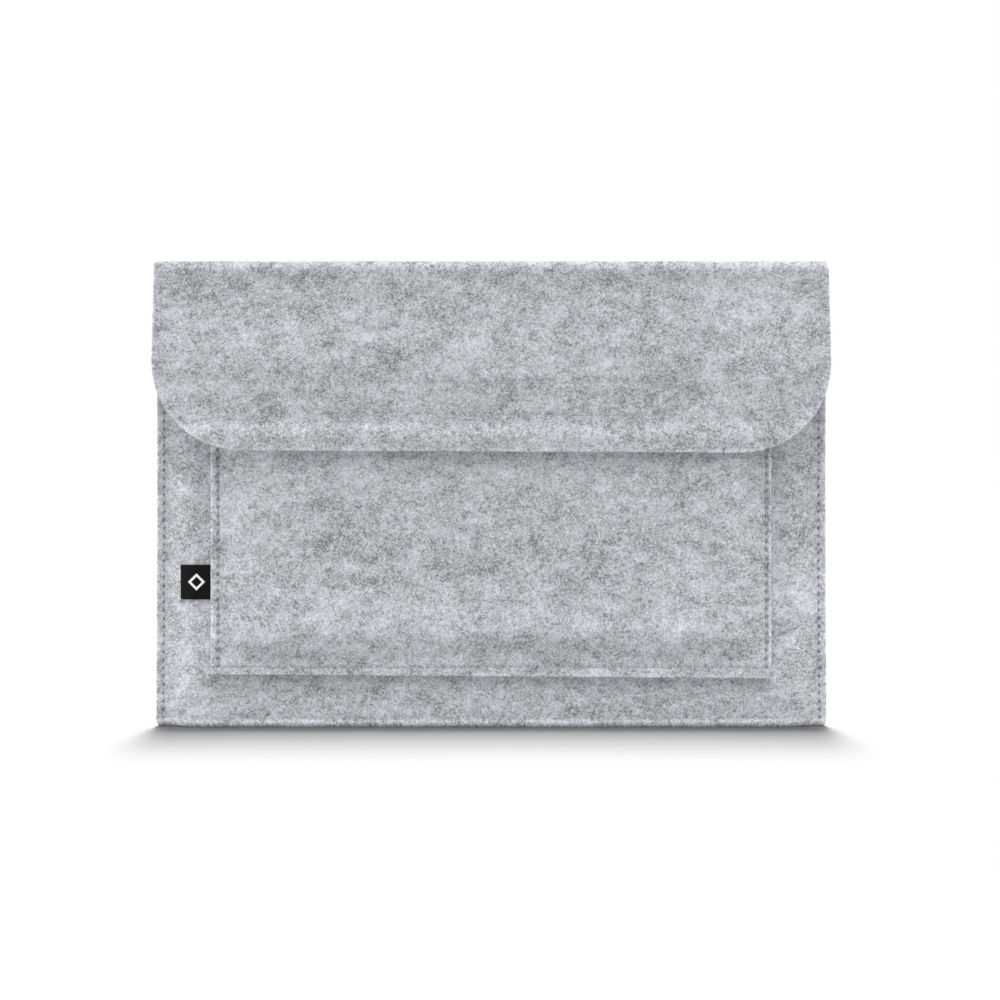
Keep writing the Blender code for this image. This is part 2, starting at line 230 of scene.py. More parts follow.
def smooth_piece(name, points, faces, material, places=None):
    """A mesh object: places are where its points lie on the flat cloth or along the thread."""
    mesh = bpy.data.meshes.new(name)
    mesh.from_pydata(points.tolist(), [], faces)
    if places is not None:
        attribute = mesh.attributes.new("place", "FLOAT_VECTOR", "POINT")
        attribute.data.foreach_set("vector", places.astype(np.float32).ravel())
    mesh.materials.append(material)
    mesh.shade_smooth()
    return add_object(name, mesh)


def rings(paths, tangents, normals, radius, sides):
    """Rings of points round the points of paths, each starting across from its normal."""
    across = unit(np.cross(tangents, normals))
    up = np.cross(across, tangents)
    angles = (np.arange(sides) * 2 * math.pi / sides)[:, None]
    ring = across[..., None, :] * np.cos(angles) + up[..., None, :] * np.sin(angles)
    return (paths[..., None, :] + radius * ring).reshape(-1, 3)


def grid_quads(rows, columns):
    """Quads of a grid stored row by row, facing the side that rows x columns turns to."""
    index = np.arange(rows * columns).reshape(rows, columns)
    corners = (index[:-1, :-1], index[:-1, 1:], index[1:, 1:], index[1:, :-1])
    return np.stack([corner.ravel() for corner in corners], axis=1)


def vertex_normals(points, quads):
    corners = points[quads]
    across = np.cross(corners[:, 2] - corners[:, 0], corners[:, 3] - corners[:, 1])
    normals = np.zeros_like(points)
    for corner in range(4):
        np.add.at(normals, quads[:, corner], across)
    return unit(normals)


def border_edges(quads):
    """The directed edges that only one quad uses."""
    starts = quads.ravel()
    ends = np.roll(quads, -1, axis=1).ravel()
    size = int(quads.max()) + 1
    codes = starts.astype(np.int64) * size + ends
    twins = ends.astype(np.int64) * size + starts
    alone = ~np.isin(codes, twins)
    return np.stack([starts[alone], ends[alone]], axis=1)


def rectangle(x, z):
    """A grid's coordinates, and how far each point is in from the grid's edge."""
    u, v = (grid.ravel() for grid in np.meshgrid(x, z))
    edge = np.minimum(np.minimum(u - x[0], x[-1] - u), np.minimum(v - z[0], z[-1] - v))
    return u, v, edge


def shell(name, middle, quads, flat, outer, inner, material,
          edge=None, hole_shade=None, worn=None, rim_bulge=0.0001):
    """A closed sheet about a middle surface: outer and inner are its half thicknesses at each point.

    edge is each point's distance in from the cut edge, which is painted paler: partly the cut fibres' own
    colour, partly a painted highlight.
    The next mark, from 0 to 1, is 1 at the needle holes, which are painted darker as painted shade, and
    the last is a painted highlight on the bottom fold, as pale as a cut edge.
    """
    normals = vertex_normals(middle, quads)
    count = len(middle)
    edges = border_edges(quads)
    rim = np.unique(edges)
    rim_index = np.full(count, -1)
    rim_index[rim] = np.arange(len(rim)) + 2 * count

    outward = np.zeros_like(middle)
    along = middle[edges[:, 1]] - middle[edges[:, 0]]
    for end in range(2):
        np.add.at(outward, edges[:, end], np.cross(along, normals[edges[:, end]]))
    outward = unit(outward[rim])

    upper = middle + normals * outer[:, None]
    lower = middle - normals * inner[:, None]
    between = middle[rim] + normals[rim] * ((outer - inner) / 2)[rim][:, None] + outward * rim_bulge
    points = np.concatenate([upper, lower, between])

    a, b = edges[:, 0], edges[:, 1]
    top_rim = np.stack([b, a, rim_index[a], rim_index[b]], axis=1)
    low_rim = np.stack([rim_index[b], rim_index[a], a + count, b + count], axis=1)
    faces = np.concatenate([quads, quads[:, ::-1] + count, top_rim, low_rim])

    depth = np.concatenate([outer, -inner, np.zeros(len(rim))])
    sheet_places = np.concatenate([flat, flat, flat[rim]])
    places = np.column_stack([sheet_places, depth])
    if edge is None:
        edge = np.full(count, 1.0)
    if hole_shade is None:
        hole_shade = np.zeros(count)
    # The cut edges are painted paler: partly the cut fibres' own colour, partly a painted highlight.
    pale = np.exp(-edge / CUT_HIGHLIGHT_FRINGE)
    # The bottom fold's painted highlight is laid over the cut edges' paling.
    if worn is not None:
        pale = np.maximum(pale, worn)
    cut = np.concatenate([pale, pale, pale[rim]])
    item = smooth_piece(name, points, faces.tolist(), material, places)
    # The needle-hole mask goes to the felt material as painted shade in the holes.
    for key, values in (("cut", cut), ("hole_shade", np.concatenate([hole_shade, hole_shade, hole_shade[rim]]))):
        attribute = item.data.attributes.new(key, "FLOAT", "POINT")
        attribute.data.foreach_set("value", values.astype(np.float32))
    item.data.set_sharp_from_angle(angle=SHARP_ANGLE)
    return item


def half_thickness(edge_distance):
    """Half the felt's thickness, less where its cut edge rounds off."""
    t = np.clip(1.0 - edge_distance / EDGE_ROUND, 0.0, 1.0)
    return RIM_HALF + (FELT / 2 - RIM_HALF) * np.sqrt(1.0 - t * t)


def lumps(middle, seed, amount=1.0):
    """The felt's own unevenness, by which its surface swells and sinks."""
    broad = cloud(middle, BROAD_SCALE, seed)
    fine = cloud(middle, FINE_SCALE, seed + 11)
    return amount * (BROAD_LUMP * broad + FINE_LUMP * fine)


def stitch_holes(distance, along, pitch):
    """1 at every needle hole of a seam, and 0 away from them."""
    phase = (along / pitch + 0.5) % 1.0 - 0.5
    return bell(distance, DIMPLE_WIDTH) * bell(phase * pitch, DIMPLE_LENGTH)


def relief_of(distance, holes):
    """How far a seam draws the felt in: a shallow groove, with a dimple at every needle hole."""
    return GROOVE_DEPTH * bell(distance, GROOVE_HALF) + DIMPLE_DEPTH * holes


# The body's felt: down the front, round the bottom fold and up the back

# Distances in from a side's cut edge: close together at the edge and at the seam
NEAR_SEAM = (0.0015, 0.0021, 0.0027, 0.0031, 0.0035, 0.0038, 0.0041, 0.0045, 0.0049, 0.0055, 0.0064)
BESIDE_SEAM = evenly(0.0076, 0.0236, 0.0016)
COLUMN_STEP = 0.0042
ROW_STEP = 0.00072
MOUTH_STEP = 0.0006
FOLD_TURNS = (0.25, 0.4, 0.5, 0.6, 0.75, 1.0)
UNDERSIDE_SHARES = (-0.6, -0.2, 0.2, 0.6)


def body_columns():
    side = CORNER_HALF_WIDTH - np.concatenate([EDGE_STEPS, NEAR_SEAM, BESIDE_SEAM])
    middle = evenly(side[-1], -side[-1], COLUMN_STEP)[1:-1]
    return np.concatenate([side, middle, -side[::-1]])[::-1]


def rows_foot():
    """The height at which the walls turn under."""
    return FELT / 2 + BOTTOM_RADIUS + CORNER_RISE


def body_rows():
    """Rows as (side, height, turn, share): walls have turn 0, and share runs over the flat underside."""
    foot = rows_foot()
    mouth = [MOUTH_HEIGHT - step for step in EDGE_STEPS]
    rows = [(-1, z, 0.0, 0.0) for z in mouth]
    rows += [(-1, z, 0.0, 0.0) for z in evenly(mouth[-1] - MOUTH_STEP, foot, ROW_STEP)]
    rows += [(-1, foot, turn, 0.0) for turn in FOLD_TURNS]
    rows += [(0, foot, 1.0, share) for share in UNDERSIDE_SHARES]
    rows += [(1, foot, turn, 0.0) for turn in FOLD_TURNS[::-1]]
    rows += [(1, z, 0.0, 0.0) for z in evenly(foot, BACK_SPLIT, ROW_STEP)]
    return rows


def body_row(x, row):
    side, z, turn, share = row
    half = back_half(x, z) if side > 0 else front_half(x, z)
    radius = np.minimum(BOTTOM_RADIUS, half - BOTTOM_FLAT_LEAST)
    low = FELT / 2 + CORNER_RISE * (1.0 - pinch(x))
    angle = turn * math.pi / 2
    height = low + radius - radius * math.sin(angle) if turn > 0.0 else np.full_like(x, z)
    cut = np.clip(1.0 - height / CORNER_CUT, 0.0, 1.0)
    place_x = x * (body_edge(z) - CORNER_CUT * (1.0 - np.sqrt(1.0 - cut * cut))) / CORNER_HALF_WIDTH
    if side == 0:
        return np.column_stack([place_x, share * (half - radius), low])
    if turn == 0.0:
        return np.column_stack([place_x, side * half, height])
    y = half - radius + radius * math.cos(angle)
    return np.column_stack([place_x, side * y, height])


def unrolled(middle, x, start):
    """Where rows of points lie on the flat felt, measured down their middle column, and where they end."""
    line = middle.reshape(-1, len(x), 3)[:, len(x) // 2]
    steps = np.linalg.norm(np.diff(line, axis=0), axis=1)
    lengths = np.concatenate([[0.0], np.cumsum(steps)]) + start
    return np.column_stack([np.tile(x, len(lengths)), np.repeat(lengths, len(x))]), float(lengths[-1])


def side_seam_relief(flat, z, sewn):
    """The side seams' pull on the felt, and the mask of its needle holes, which are painted darker as
    painted shade.
    """
    distance = np.abs(flat[:, 0]) - SEAM_X
    holes = stitch_holes(distance, z - SIDE_SEAM_FOOT, SIDE_PITCH) * sewn
    return relief_of(distance, holes) * sewn, holes


def make_body(material):
    x = body_columns()
    rows = body_rows()
    middle = np.concatenate([body_row(x, row) for row in rows])
    quads = grid_quads(len(rows), len(x))
    flat, end = unrolled(middle, x, 0.0)
    edge = np.minimum(CORNER_HALF_WIDTH - np.abs(flat[:, 0]), flat[:, 1])
    thick = half_thickness(edge)
    on_wall = np.repeat([row[2] == 0.0 and row[0] != 0 for row in rows], len(x))
    z = middle[:, 2]
    relief, hole_shade = side_seam_relief(flat, z, on_wall * (z < SEAM_TOP))
    pocket = pocket_seam_relief(middle)[0] * (middle[:, 1] < 0.0)
    turn = np.repeat([row[2] if row[0] != 0 else 1.0 for row in rows], len(x))
    angle = turn * math.pi / 2
    square = 1.0 / np.maximum(np.cos(angle), np.sin(angle)) - 1.0
    fuller = BOTTOM_FULLER * (FELT / 2 + BOTTOM_RADIUS) * square
    outer = thick - relief + lumps(middle, 1.0) * ease(edge / LUMP_MARGIN) * on_wall + fuller
    inner = thick - pocket * BOBBIN_PULL
    # A painted highlight on the bottom fold and the foot of the walls, as pale as a cut edge, where the
    # fold turns from the light.
    worn = np.where(turn > 0.0, ease(2.0 - 2.0 * turn), bell(z - rows_foot(), FOLD_HIGHLIGHT_REACH))
    item = shell("felt_body", middle, quads, flat, outer, inner, material, edge, hole_shade, worn)
    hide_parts("front_panel", "back_panel")
    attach(item, "sleeve_body")
    return end


# The back crease: off the body's back panel, over the crease and on to the middle of the top fold

CREASE_TURNS = 9


def crease_lines(x):
    """The rows of points up the back, round the crease and over the top."""
    for z in evenly(BACK_SPLIT, CREASE_Z, FELT_STEP):
        side_to_side = x * body_edge(z) / CORNER_HALF_WIDTH
        yield np.column_stack([side_to_side, back_half(x, z), np.full_like(x, z)])
    for angle in np.linspace(0.0, math.pi / 2, CREASE_TURNS + 1)[1:]:
        y = STRIP_BACK + CREASE_RADIUS * math.cos(angle)
        z = CREASE_Z + CREASE_RADIUS * math.sin(angle)
        yield np.column_stack([x, np.full_like(x, y), np.full_like(x, z)])
    for y in evenly(STRIP_BACK, STRIP_MIDDLE, FELT_STEP)[1:]:
        yield np.column_stack([x, np.full_like(x, y), np.full_like(x, TOP_Z)])


def make_back_crease(start, material):
    x = body_columns()
    lines = list(crease_lines(x))
    middle = np.concatenate(lines)
    quads = grid_quads(len(lines), len(x))
    flat, end = unrolled(middle, x, start)
    edge = CORNER_HALF_WIDTH - np.abs(flat[:, 0])
    thick = half_thickness(edge)
    relief, hole_shade = side_seam_relief(flat, middle[:, 2], (middle[:, 2] < SEAM_TOP) * 1.0)
    outer = thick - relief + lumps(middle, 1.0) * ease(edge / LUMP_MARGIN)
    item = shell("felt_back_crease", middle, quads, flat, outer, thick, material,
                 edge, hole_shade, rim_bulge=0.0)
    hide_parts("top_fold")
    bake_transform(item)
    return end


# The flap: from the middle of the top fold, over the front crease and down to its rounded lower edge

FLAT_LENGTH = STRIP_MIDDLE - STRIP_FRONT
FLAP_START = FLAT_LENGTH + CREASE_ARC  # distance along the felt at which the flap hangs straight
FLAP_END = FLAP_START + CREASE_Z - FLAP_BOTTOM
FLAP_BORDER = 0.0060
FLAP_SKEW = 0.0008  # how far its lower edge hangs off level, at either end
FLAP_ARC_STEP = 0.0007
FLAP_COLUMNS = 353
FLAP_CORNER_ROWS = 46
FLAP_RINGS = (0.0048, 0.0036, 0.0026, 0.0018, 0.0013) + EDGE_STEPS[::-1]  # distances in from its edge
TAPE_PULL_OUTSIDE = 0.35  # how hard the tape's stitches draw the flap in, on either face
TAPE_PULL_INSIDE = 0.6
# The share of the full painted shade that the flap's needle holes get.
TAPE_HOLE_SHADE = 0.15


def flap_width(t):
    """Half the flap's width, corners apart, at a distance along the felt from the strip's middle."""
    share = np.clip((t - FLAP_START) / (FLAP_END - FLAP_START - FLAP_CORNER), 0.0, 1.0)
    return mix(CORNER_HALF_WIDTH, FLAP_HALF_WIDTH, share)


def flap_place(u, t):
    """From the flat felt to where it is when the flap is shut."""
    angle = np.clip((t - FLAT_LENGTH) / CREASE_RADIUS, 0.0, math.pi / 2)
    y = STRIP_MIDDLE - np.minimum(t, FLAT_LENGTH) - CREASE_RADIUS * np.sin(angle)
    z = TOP_Z - CREASE_RADIUS * (1.0 - np.cos(angle))
    hanging = t >= FLAP_START
    tilt = FLAP_SKEW * u / CORNER_HALF_WIDTH * (t - FLAP_START) / (FLAP_END - FLAP_START)
    z = np.where(hanging, CREASE_Z - (t - FLAP_START) - tilt, z)
    y = np.where(hanging, -flap_half(u, z), y)
    return np.column_stack([u, y, z])


def flap_stations():
    """The flap's inner grid, and its outline's samples with the direction out from each."""
    corner_t = FLAP_END - FLAP_CORNER
    straight = np.concatenate([evenly(0.0, FLAT_LENGTH, FELT_STEP),
                               evenly(FLAT_LENGTH, FLAP_START, FLAP_ARC_STEP)[1:],
                               evenly(FLAP_START, corner_t, FELT_STEP)[1:]])
    turns = np.linspace(0.0, math.pi / 2, FLAP_CORNER_ROWS + 1)[1:]
    radius = FLAP_CORNER - FLAP_BORDER
    t_rows = np.concatenate([straight, corner_t + radius * np.sin(turns)])
    reach = np.concatenate([flap_width(straight) - FLAP_BORDER,
                            FLAP_HALF_WIDTH - FLAP_CORNER + radius * np.cos(turns)])
    out_u = np.concatenate([np.ones_like(straight), np.cos(turns)])
    out_t = np.concatenate([np.zeros_like(straight), np.sin(turns)])
    return t_rows, reach, out_u, out_t


def make_flap(start, material):
    t_rows, reach, out_u, out_t = flap_stations()
    columns = FLAP_COLUMNS
    shares = np.linspace(-1.0, 1.0, columns)
    u = (reach[:, None] * shares[None, :]).ravel()
    t = np.repeat(t_rows, columns)
    inside = np.full_like(u, FLAP_BORDER)
    quads = [grid_quads(len(t_rows), columns)]

    left = np.arange(len(t_rows)) * columns
    bottom = (len(t_rows) - 1) * columns + np.arange(1, columns - 1)
    right = left[::-1] + columns - 1
    outline = np.concatenate([left, bottom, right])
    direction_u = np.concatenate([-out_u, np.zeros(len(bottom)), out_u[::-1]])
    direction_t = np.concatenate([out_t, np.ones(len(bottom)), out_t[::-1]])
    ring = outline
    for step in FLAP_RINGS:
        fresh = np.arange(len(outline)) + len(u)
        reach_out = FLAP_BORDER - step
        u = np.concatenate([u, u[outline] + direction_u * reach_out])
        t = np.concatenate([t, t[outline] + direction_t * reach_out])
        inside = np.concatenate([inside, np.full(len(outline), step)])
        quads.append(np.stack([ring[:-1], ring[1:], fresh[1:], fresh[:-1]], axis=1))
        ring = fresh
    quads = np.concatenate(quads)
    middle = flap_place(u, t)
    if vertex_normals(middle, quads)[columns // 2][2] < 0.0:
        quads = quads[:, ::-1]

    thick = half_thickness(inside)
    relief, hole_shade = tape_seam_relief(middle)
    swell = lumps(middle, 3.0) * ease(inside / LUMP_MARGIN)
    outer = thick - relief * TAPE_PULL_OUTSIDE + swell
    inner = thick - relief * TAPE_PULL_INSIDE
    flat = np.column_stack([u, t + start])
    item = shell("felt_flap", middle, quads, flat, outer, inner, material, inside, hole_shade * TAPE_HOLE_SHADE)
    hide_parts("flap")
    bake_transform(item)


# The pocket

def pocket_lines():
    """The pocket's three seam lines: left, right and bottom."""
    left = POCKET_LOW.x + POCKET_SEAM_LEFT
    right = POCKET_HIGH.x - POCKET_SEAM_RIGHT
    return left, right, POCKET_LOW.z + POCKET_SEAM_BOTTOM


def pocket_seam_relief(middle):
    """The pocket seams' pull on the felt, and the mask of their needle holes, which are painted darker as
    painted shade.
    """
    left, right, bottom = pocket_lines()
    x, z = middle[:, 0], middle[:, 2]
    above = seam_end(z - bottom) * seam_end(POCKET_TOP - SEAM_END - z)
    between = seam_end(x - left) * seam_end(right - x) * POCKET_FOOT_PULL
    runs = ((x - left, z - bottom, above), (x - right, z - bottom, above), (z - bottom, x - left, between))
    return deepest(runs, POCKET_PITCH)


def tape_seam_relief(middle):
    x, z = middle[:, 0], middle[:, 2] - TAPE_CENTRE_Z
    past_x, past_z = np.abs(x) - TAPE_SEAM_X, np.abs(z) - TAPE_SEAM_Z
    return deepest(((past_z, x, seam_end(-past_x)), (past_x, z, seam_end(-past_z))), TAPE_PITCH)


def seam_end(inside):
    """1 where a seam runs, fading out just past its end."""
    return ease((inside + SEAM_END) / SEAM_END)


def deepest(runs, pitch):
    """Straight runs of stitches, each as distance from it, distance along it and where it exists."""
    relief, hole_shade = 0.0, 0.0
    for distance, along, present in runs:
        holes = stitch_holes(distance, along, pitch) * present
        relief = np.maximum(relief, relief_of(distance, holes) * present)
        hole_shade = np.maximum(hole_shade, holes)
    return relief, hole_shade


POCKET_BORDER = 0.0026
POCKET_EDGE_STEPS = np.array(EDGE_STEPS + (0.0014, 0.0019))
POCKET_STEP = 0.0008
POCKET_LUMPS = 1.3
POCKET_SHIFT = 0.6  # along its own felt, so that its marl isn't the body's
LABEL_RIDGE_WIDTH = 0.012
LABEL_RIDGE_MARGIN = 0.003
LABEL_RIDGE_FADE = 0.004


def pocket_stations(low, high):
    inner = evenly(low + POCKET_BORDER, high - POCKET_BORDER, POCKET_STEP)
    return np.concatenate([low + POCKET_EDGE_STEPS, inner, (high - POCKET_EDGE_STEPS)[::-1]])


def make_pocket(material):
    left, right = POCKET_LOW.x, POCKET_HIGH.x
    bottom, top = POCKET_LOW.z, POCKET_TOP
    x, z = pocket_stations(left, right), pocket_stations(bottom, top)
    u, v, edge = rectangle(x, z)
    below_seam = np.clip(1.0 - (v - bottom) / POCKET_SEAM_BOTTOM, 0.0, 1.0)
    v = v - POCKET_SKEW * (2.0 * (u - left) / (right - left) - 1.0) * below_seam
    over_label = ease(1.0 - (u - left) / LABEL_RIDGE_WIDTH)
    over_label = over_label * ease((v - LABEL_LOW.z + LABEL_RIDGE_MARGIN) / LABEL_RIDGE_FADE)
    over_label = over_label * ease((LABEL_HIGH.z + LABEL_RIDGE_MARGIN - v) / LABEL_RIDGE_FADE)
    middle = np.column_stack([u, -pocket_half(u, v) - LABEL_RIDGE * over_label, v])
    thick = half_thickness(edge)
    relief, hole_shade = pocket_seam_relief(middle)
    outer = thick - relief + lumps(middle, 5.0, POCKET_LUMPS) * ease(edge / LUMP_MARGIN)
    flat = np.column_stack([u + POCKET_SHIFT, v])
    quads = grid_quads(len(z), len(x))
    item = shell("felt_pocket", middle, quads, flat, outer, thick, material, edge, hole_shade)
    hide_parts("pocket_panel")
    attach(item, "sleeve_body")


# Threads

THREAD_SIDES = 7
THREAD_ROUND = 0.001  # how far it is round a thread, in the place coordinates


def tube(name, path, normal, radius, material, closed):
    """A round thread along a path, whose frame is kept upright by a normal."""
    if closed:
        tangents = np.roll(path, -1, axis=0) - np.roll(path, 1, axis=0)
    else:
        tangents = np.gradient(path, axis=0)
    points = rings(path, unit(tangents), normal, radius, THREAD_SIDES)
    count = len(path)
    index = np.arange(count * THREAD_SIDES).reshape(count, THREAD_SIDES)
    after, turned = np.roll(index, -1, axis=0), np.roll(index, -1, axis=1)
    quads = np.stack([index, turned, np.roll(after, -1, axis=1), after], axis=-1)
    faces = quads[:count if closed else -1].reshape(-1, 4).tolist()
    if not closed:
        faces += [index[0, ::-1].tolist(), index[-1].tolist()]
    step = float(np.mean(np.linalg.norm(np.diff(path, axis=0), axis=1)))
    along = np.repeat(np.arange(count) * step, THREAD_SIDES)
    around = np.tile(np.arange(THREAD_SIDES) / THREAD_SIDES * THREAD_ROUND, count)
    places = np.column_stack([along, around, np.zeros_like(along)])
    return smooth_piece(name, points, faces, material, places)


def polyline(corners, step, closed):
    """Points along straight runs between corners, with the distance that each is along them."""
    corners = [np.array(corner, float) for corner in corners]
    if closed:
        corners.append(corners[0])
    points, distances, travelled = [], [], 0.0
    for start, end in zip(corners[:-1], corners[1:]):
        length = float(np.linalg.norm(end - start))
        count = max(int(round(length / step)), 1)
        for i in range(count):
            points.append(start + (end - start) * i / count)
            distances.append(travelled + length * i / count)
        travelled += length
    if not closed:
        points.append(corners[-1])
        distances.append(travelled)
    return np.array(points), np.array(distances)


STITCH_POINTS = 9
STITCH_ROUNDNESS = 0.40  # less is a flatter stitch that dives more steeply
STITCH_DEPTH = 0.00125
THREAD_SUNK = 0.00005
FLAP_THREAD_SUNK = 0.00026
SEAM_PIECE = 0.03
SIDE_SEAM_END = 0.0002
POCKET_SEAM_END = 0.0010
NEEDLE_FACE = 0.0010  # from a tape's outer face in to its stitches


def stitches(name, corners, way, pitch, body, material, closed=False, offset=0.0, sunk=THREAD_SUNK):
    """One thread of a seam: it lies in the groove and dips into the felt at each needle hole."""
    path, along = polyline(corners, pitch / STITCH_POINTS, closed)
    phase = ((along + offset) / pitch) % 1.0
    rise = np.sin(math.pi * phase) ** STITCH_ROUNDNESS
    normal = np.array((0.0, way, 0.0))
    path = path + normal * mix(-STITCH_DEPTH, -sunk, rise)[:, None]
    item = tube(name + "_stitches", path, normal, THREAD_RADIUS, material, closed)
    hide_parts(name + "_thread")
    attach(item, body)


def make_threads(material):
    outer = SEAM_HALF + FELT / 2
    low, high = SIDE_SEAM_FOOT, SEAM_TOP - SIDE_SEAM_END
    for side, sign in (("left", -1.0), ("right", 1.0)):
        for face, way in (("needle", -1.0), ("bobbin", 1.0)):
            heights = evenly(low, high, SEAM_PIECE)
            corners = [(sign * SEAM_X * body_edge(z) / CORNER_HALF_WIDTH, way * outer, z)
                       for z in heights]
            stitches(f"{side}_seam_{face}", corners, way, SIDE_PITCH, "sleeve_body", material)
    left, right, bottom = pocket_lines()
    top = POCKET_TOP - POCKET_SEAM_END
    drop = (top - bottom) % POCKET_PITCH
    faces = (("needle", BODY_HALF + GAP + 1.5 * FELT, -1.0), ("bobbin", BODY_HALF - FELT / 2, 1.0))
    for face, y, way in faces:
        corners = [(left, -y, top), (left, -y, bottom), (right, -y, bottom), (right, -y, top)]
        stitches(f"pocket_seam_{face}", corners, way, POCKET_PITCH, "sleeve_body", material,
                 offset=POCKET_PITCH - drop)
    faces = (
        ("hook_tape_bobbin", -(FLAP_TAPE_HALF + FELT / 2), -1.0, "flap"),
        ("hook_tape_needle", HOOK_LOW.y + NEEDLE_FACE, 1.0, "flap"),
        ("loop_tape_needle", LOOP_HIGH.y - NEEDLE_FACE, -1.0, "sleeve_body"),
        ("loop_tape_bobbin", LOOP_HIGH.y + GAP + FELT, 1.0, "sleeve_body"),
    )
    for name, y, way, body in faces:
        corners = [(sx * TAPE_SEAM_X, y, TAPE_CENTRE_Z + sz * TAPE_SEAM_Z) for sx, sz in ALL_CORNERS]
        sunk = FLAP_THREAD_SUNK if name == "hook_tape_bobbin" else THREAD_SUNK
        stitches(name, corners, way, TAPE_PITCH, body, material, closed=True, sunk=sunk)


# Hook and loop tapes

HOOK_PITCH = 0.00150
LOOP_PITCH = 0.00105
# A hook from its root to its tip, in millimetres across and up
HOOK_SHAPE = ((0.0, -0.05), (0.0, 0.34), (0.02, 0.58), (0.10, 0.78), (0.27, 0.88), (0.44, 0.80),
              (0.50, 0.60))
HOOK_RADIUS = 0.00009
HOOK_WANDER = 0.00006
HOOK_LEAN = 0.12
LOOP_RADIUS = 0.00006
LOOP_WANDER = 0.00030
LOOP_SPAN = (0.00045, 0.00085)
LOOP_RISE = (0.00060, 0.00090)
LOOP_LEAN = 0.00018
LOOP_ROOT = 0.15  # how far past the half turn a loop's feet reach, in radians
WEAVE_STEP = 0.00050
WEAVE_PITCH = 0.0010
WEAVE_HEIGHT = 0.00005
WEAVE_THIN = 0.00008
SELVEDGE_THIN = 0.00012
SELVEDGE_WIDTH = 0.0004
TAPE_SEWN_IN = 0.00015


def strands(name, paths, normals, radius, sides, material):
    """Many short open tubes in one mesh: paths is strands x points x 3, normals is strands x 3."""
    count, length, _ = paths.shape
    tangents = unit(np.gradient(paths, axis=1))
    points = rings(paths, tangents, normals[:, None, :], radius, sides)
    index = np.arange(count * length * sides).reshape(count, length, sides)
    turned = np.roll(index, -1, axis=2)
    quads = np.stack([index[:, :-1], turned[:, :-1], turned[:, 1:], index[:, 1:]], axis=-1)
    ends = np.concatenate([index[:, 0, ::-1], index[:, -1]])
    return smooth_piece(name, points, quads.reshape(-1, 4).tolist() + ends.tolist(), material)


def make_tape_base(name, low, high, towards, material):
    """The woven ground of a tape: over and under, with a tighter selvedge round it."""
    x = evenly(low.x, high.x, WEAVE_STEP)
    z = evenly(low.z, high.z, WEAVE_STEP)
    u, v, edge = rectangle(x, z)
    sewn = low.y if towards > 0 else high.y
    middle = np.column_stack([u, np.full_like(u, sewn + towards * TAPE_BASE / 2), v])
    quads = grid_quads(len(z), len(x))
    if towards > 0:
        quads = quads[:, ::-1]
    weave = WEAVE_HEIGHT * np.sin(math.pi * u / WEAVE_PITCH) * np.sin(math.pi * v / WEAVE_PITCH)
    thick = TAPE_BASE / 2 - WEAVE_THIN + weave - SELVEDGE_THIN * bell(edge, SELVEDGE_WIDTH)
    outer = thick - TAPE_SEWN_IN * bell(edge - TAPE_STITCH_INSET, SELVEDGE_WIDTH)
    inner = np.full_like(u, TAPE_BASE / 2)
    item = shell(name, middle, quads, np.column_stack([u, v]), outer, inner, material)
    return item


def tape_spots(low, high, pitch_x, pitch_z, rng, wander):
    """Where hooks or loops stand, row by row inside a tape's selvedge."""
    x = evenly(low.x + TAPE_SELVEDGE, high.x - TAPE_SELVEDGE, pitch_x)
    z = evenly(low.z + TAPE_SELVEDGE, high.z - TAPE_SELVEDGE, pitch_z)
    grid_x, grid_z = np.meshgrid(x, z)
    grid_x[1::2] += pitch_x / 2
    grid_x = np.minimum(grid_x, high.x - TAPE_SELVEDGE)
    spots = np.column_stack([grid_x.ravel(), grid_z.ravel()])
    return spots + rng.uniform(-wander, wander, spots.shape)


def make_hook_tape(base_material, hook_material):
    base = make_tape_base("hook_tape_weave", HOOK_LOW, HOOK_HIGH, 1.0, base_material)
    rng = np.random.default_rng(11)
    spots = tape_spots(HOOK_LOW, HOOK_HIGH, HOOK_PITCH, HOOK_PITCH, rng, HOOK_WANDER)
    face = HOOK_LOW.y + TAPE_BASE
    shape = np.array(HOOK_SHAPE) / 1000
    row = np.round((spots[:, 1] - HOOK_LOW.z) / HOOK_PITCH).astype(int)
    way = np.where(row % 2 == 0, 1.0, -1.0)
    lean = rng.normal(0.0, HOOK_LEAN, len(spots))
    paths = np.zeros((len(spots), len(shape), 3))
    paths[:, :, 0] = spots[:, 0, None] + (way * np.cos(lean))[:, None] * shape[None, :, 0]
    paths[:, :, 1] = face + shape[None, :, 1]
    paths[:, :, 2] = spots[:, 1, None] + np.sin(lean)[:, None] * shape[None, :, 0]
    normals = np.column_stack([-np.sin(lean), np.zeros_like(lean), np.cos(lean)])
    hooks = strands("hook_tape_hooks", paths, normals, HOOK_RADIUS, 5, hook_material)
    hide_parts("hook_tape")
    for item in (base, hooks):
        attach(item, "flap")


